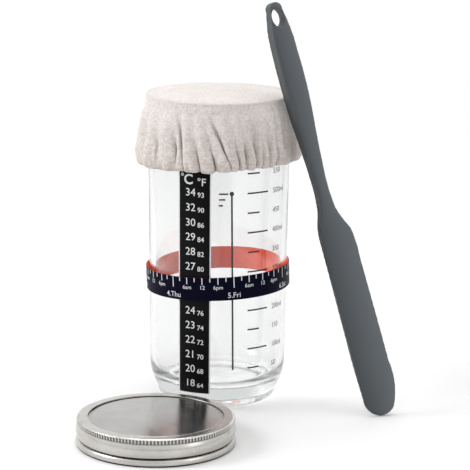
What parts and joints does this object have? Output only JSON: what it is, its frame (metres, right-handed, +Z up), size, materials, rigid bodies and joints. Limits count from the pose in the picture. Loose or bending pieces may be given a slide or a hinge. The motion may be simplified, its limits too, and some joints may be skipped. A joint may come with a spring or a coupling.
{
  "type": "sourdough starter jar set",
  "caption": "Straight glass starter jar with a strip thermometer, volume marks, turning tracking band, gathered cloth cover, two-piece screw lid and silicone spatula.",
  "frame": {"origin": "centre of the glass jar's base ring, on the surface that the set stands on", "axes": "+Z up along the jar's axis; -Y to the front, where the thermometer strip and the feeding line are; +X to the right, where the spatula leans; the lid lies in front on the left"},
  "size_m": [0.1812, 0.1909, 0.2368],
  "materials": {
    "clear_glass": "clear moulded glass, slightly green where it is thick",
    "adhesive_film": "white backing film of the strip",
    "liquid_crystal": "dark liquid crystal ink under the film",
    "thermometer_black": "glossy black printed film",
    "black_ink": "fired black ink",
    "coral_lining": "soft matt coral silicone",
    "navy_print": "dark navy printed silicone",
    "linen": "undyed linen weave, gathered",
    "elastic": "covered elastic cord",
    "tinplate": "rolled tinplate, satin",
    "disc_plate": "bright tinplate, nearly mirror",
    "gasket": "pale sealing compound",
    "grey_silicone": "slate grey silicone, matt",
    "core_steel": "flat stainless steel"
  },
  "bodies": {
    "jar": {"glass_jar": "clear_glass", "thermometer_adhesive": "adhesive_film", "thermometer_cells": "liquid_crystal", "thermometer_film": "thermometer_black", "volume_marks": "black_ink", "feeding_line": "black_ink"},
    "band_slider": {"band_lining": "coral_lining"},
    "band_ring": {"tracking_band": "navy_print"},
    "cover": {"cloth_cover": "linen", "hem_elastic": "elastic"},
    "lid": {"lid_disc": "disc_plate", "lid_gasket": "gasket"},
    "lid_ring": {"screw_band": "tinplate"},
    "spatula": {"spatula_silicone": "grey_silicone", "spatula_core": "core_steel"}
  },
  "joints": [
    {"name": "band_slide", "type": "slide", "parent": "jar", "child": "band_slider", "axis": [0, 0, 1], "range_m": [-0.044, 0.052]},
    {"name": "band_turn", "type": "hinge", "parent": "band_slider", "child": "band_ring", "pos_m": [0, 0, 0.0733], "axis": [-0.0419, 0, 0.9991], "continuous": true},
    {"name": "spatula_away", "type": "slide", "parent": "jar", "child": "spatula", "axis": [0.8486, -0.5291, 0], "range_m": [0, 0.1]},
    {"name": "cover_lift", "type": "slide", "parent": "jar", "child": "cover", "axis": [0, 0, 1], "range_m": [0, 0.09]},
    {"name": "lid_lift", "type": "slide", "parent": "jar", "child": "lid", "axis": [0, 0, 1], "range_m": [0, 0.12]},
    {"name": "screw_band_turn", "type": "hinge", "parent": "lid", "child": "lid_ring", "pos_m": [-0.0327, -0.0994, 0], "axis": [0, 0, 1], "continuous": true}
  ],
  "couplings": [
    {"joint": "cover_lift", "follows": "spatula_away", "ratio": 0.9}
  ]
}
